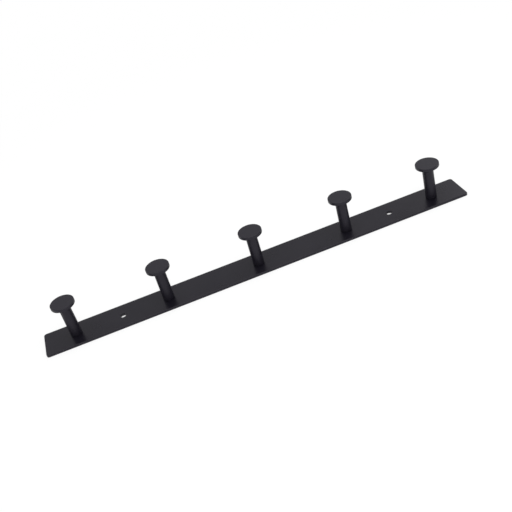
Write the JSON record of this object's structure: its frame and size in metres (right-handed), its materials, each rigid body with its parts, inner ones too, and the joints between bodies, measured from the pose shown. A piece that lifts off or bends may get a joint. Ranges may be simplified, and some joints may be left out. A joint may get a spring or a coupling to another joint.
{
  "type": "hook rack",
  "caption": "Wall rack of satin black metal: a flat strip with a row of round pegs with disc heads, and plain holes for wall screws.",
  "frame": {"origin": "centre of the wall face, the flat back of the strip", "axes": "+X along the strip, +Y across it, +Z out of the wall, along the pegs"},
  "size_m": [0.5, 0.04, 0.047],
  "materials": {
    "powder_coat": "satin black powder coat",
    "zinc_plate": "bright zinc-plated steel"
  },
  "bodies": {
    "root": {"back_plate": "powder_coat", "peg_1": "powder_coat", "peg_2": "powder_coat", "peg_3": "powder_coat", "peg_4": "powder_coat", "peg_5": "powder_coat", "peg_screws": "zinc_plate"}
  },
  "joints": []
}
